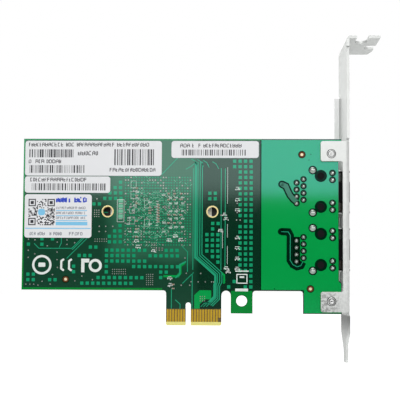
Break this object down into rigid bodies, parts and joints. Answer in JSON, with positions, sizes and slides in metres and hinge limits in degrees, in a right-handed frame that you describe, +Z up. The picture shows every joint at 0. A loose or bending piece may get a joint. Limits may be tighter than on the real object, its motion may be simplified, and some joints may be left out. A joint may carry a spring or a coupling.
{
  "type": "network interface card",
  "caption": "Dual-port network card for a one-lane slot: green board, finned heatsink, two shielded jacks and a full-height steel bracket.",
  "frame": {"origin": "centre of the slot's key notch at the tips of the contact tongues, mid-thickness of the board", "axes": "+X along the card towards the bracket, +Y from the solder side to the component side, +Z up and out of the slot"},
  "size_m": [0.1321, 0.0187, 0.121],
  "materials": {
    "solder_mask": "satin green lacquer over glass-fibre board",
    "gold": "gold plating",
    "solder": "bright tin solder",
    "bracket_steel": "zinc-plated sheet",
    "screw_steel": "plated",
    "shield_tin": "tin-plated sheet",
    "black_moulding": "matt moulding",
    "lens_green": "clear tinted moulding",
    "lens_amber": "clear tinted moulding",
    "lead_tin": "tinned leads",
    "substrate": "laminate",
    "silicon": "polished",
    "pad": "soft pad",
    "heatsink_metal": "black anodised extrusion, bare on its machined land",
    "ferrite": "pressed ferrite",
    "can_metal": "drawn can",
    "crystal_metal": "nickel-plated can",
    "capacitor_ceramic": "fired ceramic",
    "resistor_ceramic": "coated ceramic",
    "label_paper": "matt paper"
  },
  "bodies": {
    "root": {"circuit_board": "solder_mask", "edge_contacts": "gold", "heatsink_hole_plating": "gold", "solder_joints": "solder", "mounting_bracket": "bracket_steel", "bracket_screws": "screw_steel", "controller_substrate": "substrate", "controller_die": "silicon", "controller_solder_balls": "solder", "thermal_pad": "pad", "heatsink": "heatsink_metal", "crystal_base": "black_moulding", "crystal_can": "crystal_metal", "solder_side_capacitors": "capacitor_ceramic", "solder_side_resistors": "resistor_ceramic", "component_side_capacitors": "capacitor_ceramic", "component_side_resistors": "resistor_ceramic", "label_product": "label_paper", "label_serial": "label_paper", "label_warranty": "label_paper", "label_address": "label_paper", "eeprom_body": "black_moulding", "eeprom_leads": "lead_tin", "flash_memory_body": "black_moulding", "flash_memory_leads": "lead_tin", "step_down_converter_body": "black_moulding", "step_down_converter_leads": "lead_tin", "port_1_shield": "shield_tin", "port_1_housing": "black_moulding", "port_1_contacts": "gold", "port_1_link_led": "lens_green", "port_1_activity_led": "lens_amber", "port_1_led_leads": "lead_tin", "line_transformer_1": "black_moulding", "line_transformer_1_leads": "lead_tin", "regulator_1_body": "black_moulding", "regulator_1_leads": "lead_tin", "inductor_1_core": "ferrite", "inductor_1_terminals": "lead_tin", "port_2_shield": "shield_tin", "port_2_housing": "black_moulding", "port_2_contacts": "gold", "port_2_link_led": "lens_green", "port_2_activity_led": "lens_amber", "port_2_led_leads": "lead_tin", "line_transformer_2": "black_moulding", "line_transformer_2_leads": "lead_tin", "regulator_2_body": "black_moulding", "regulator_2_leads": "lead_tin", "inductor_2_core": "ferrite", "inductor_2_terminals": "lead_tin", "capacitor_1_base": "black_moulding", "capacitor_1_can": "can_metal", "capacitor_2_base": "black_moulding", "capacitor_2_can": "can_metal"}
  },
  "joints": []
}
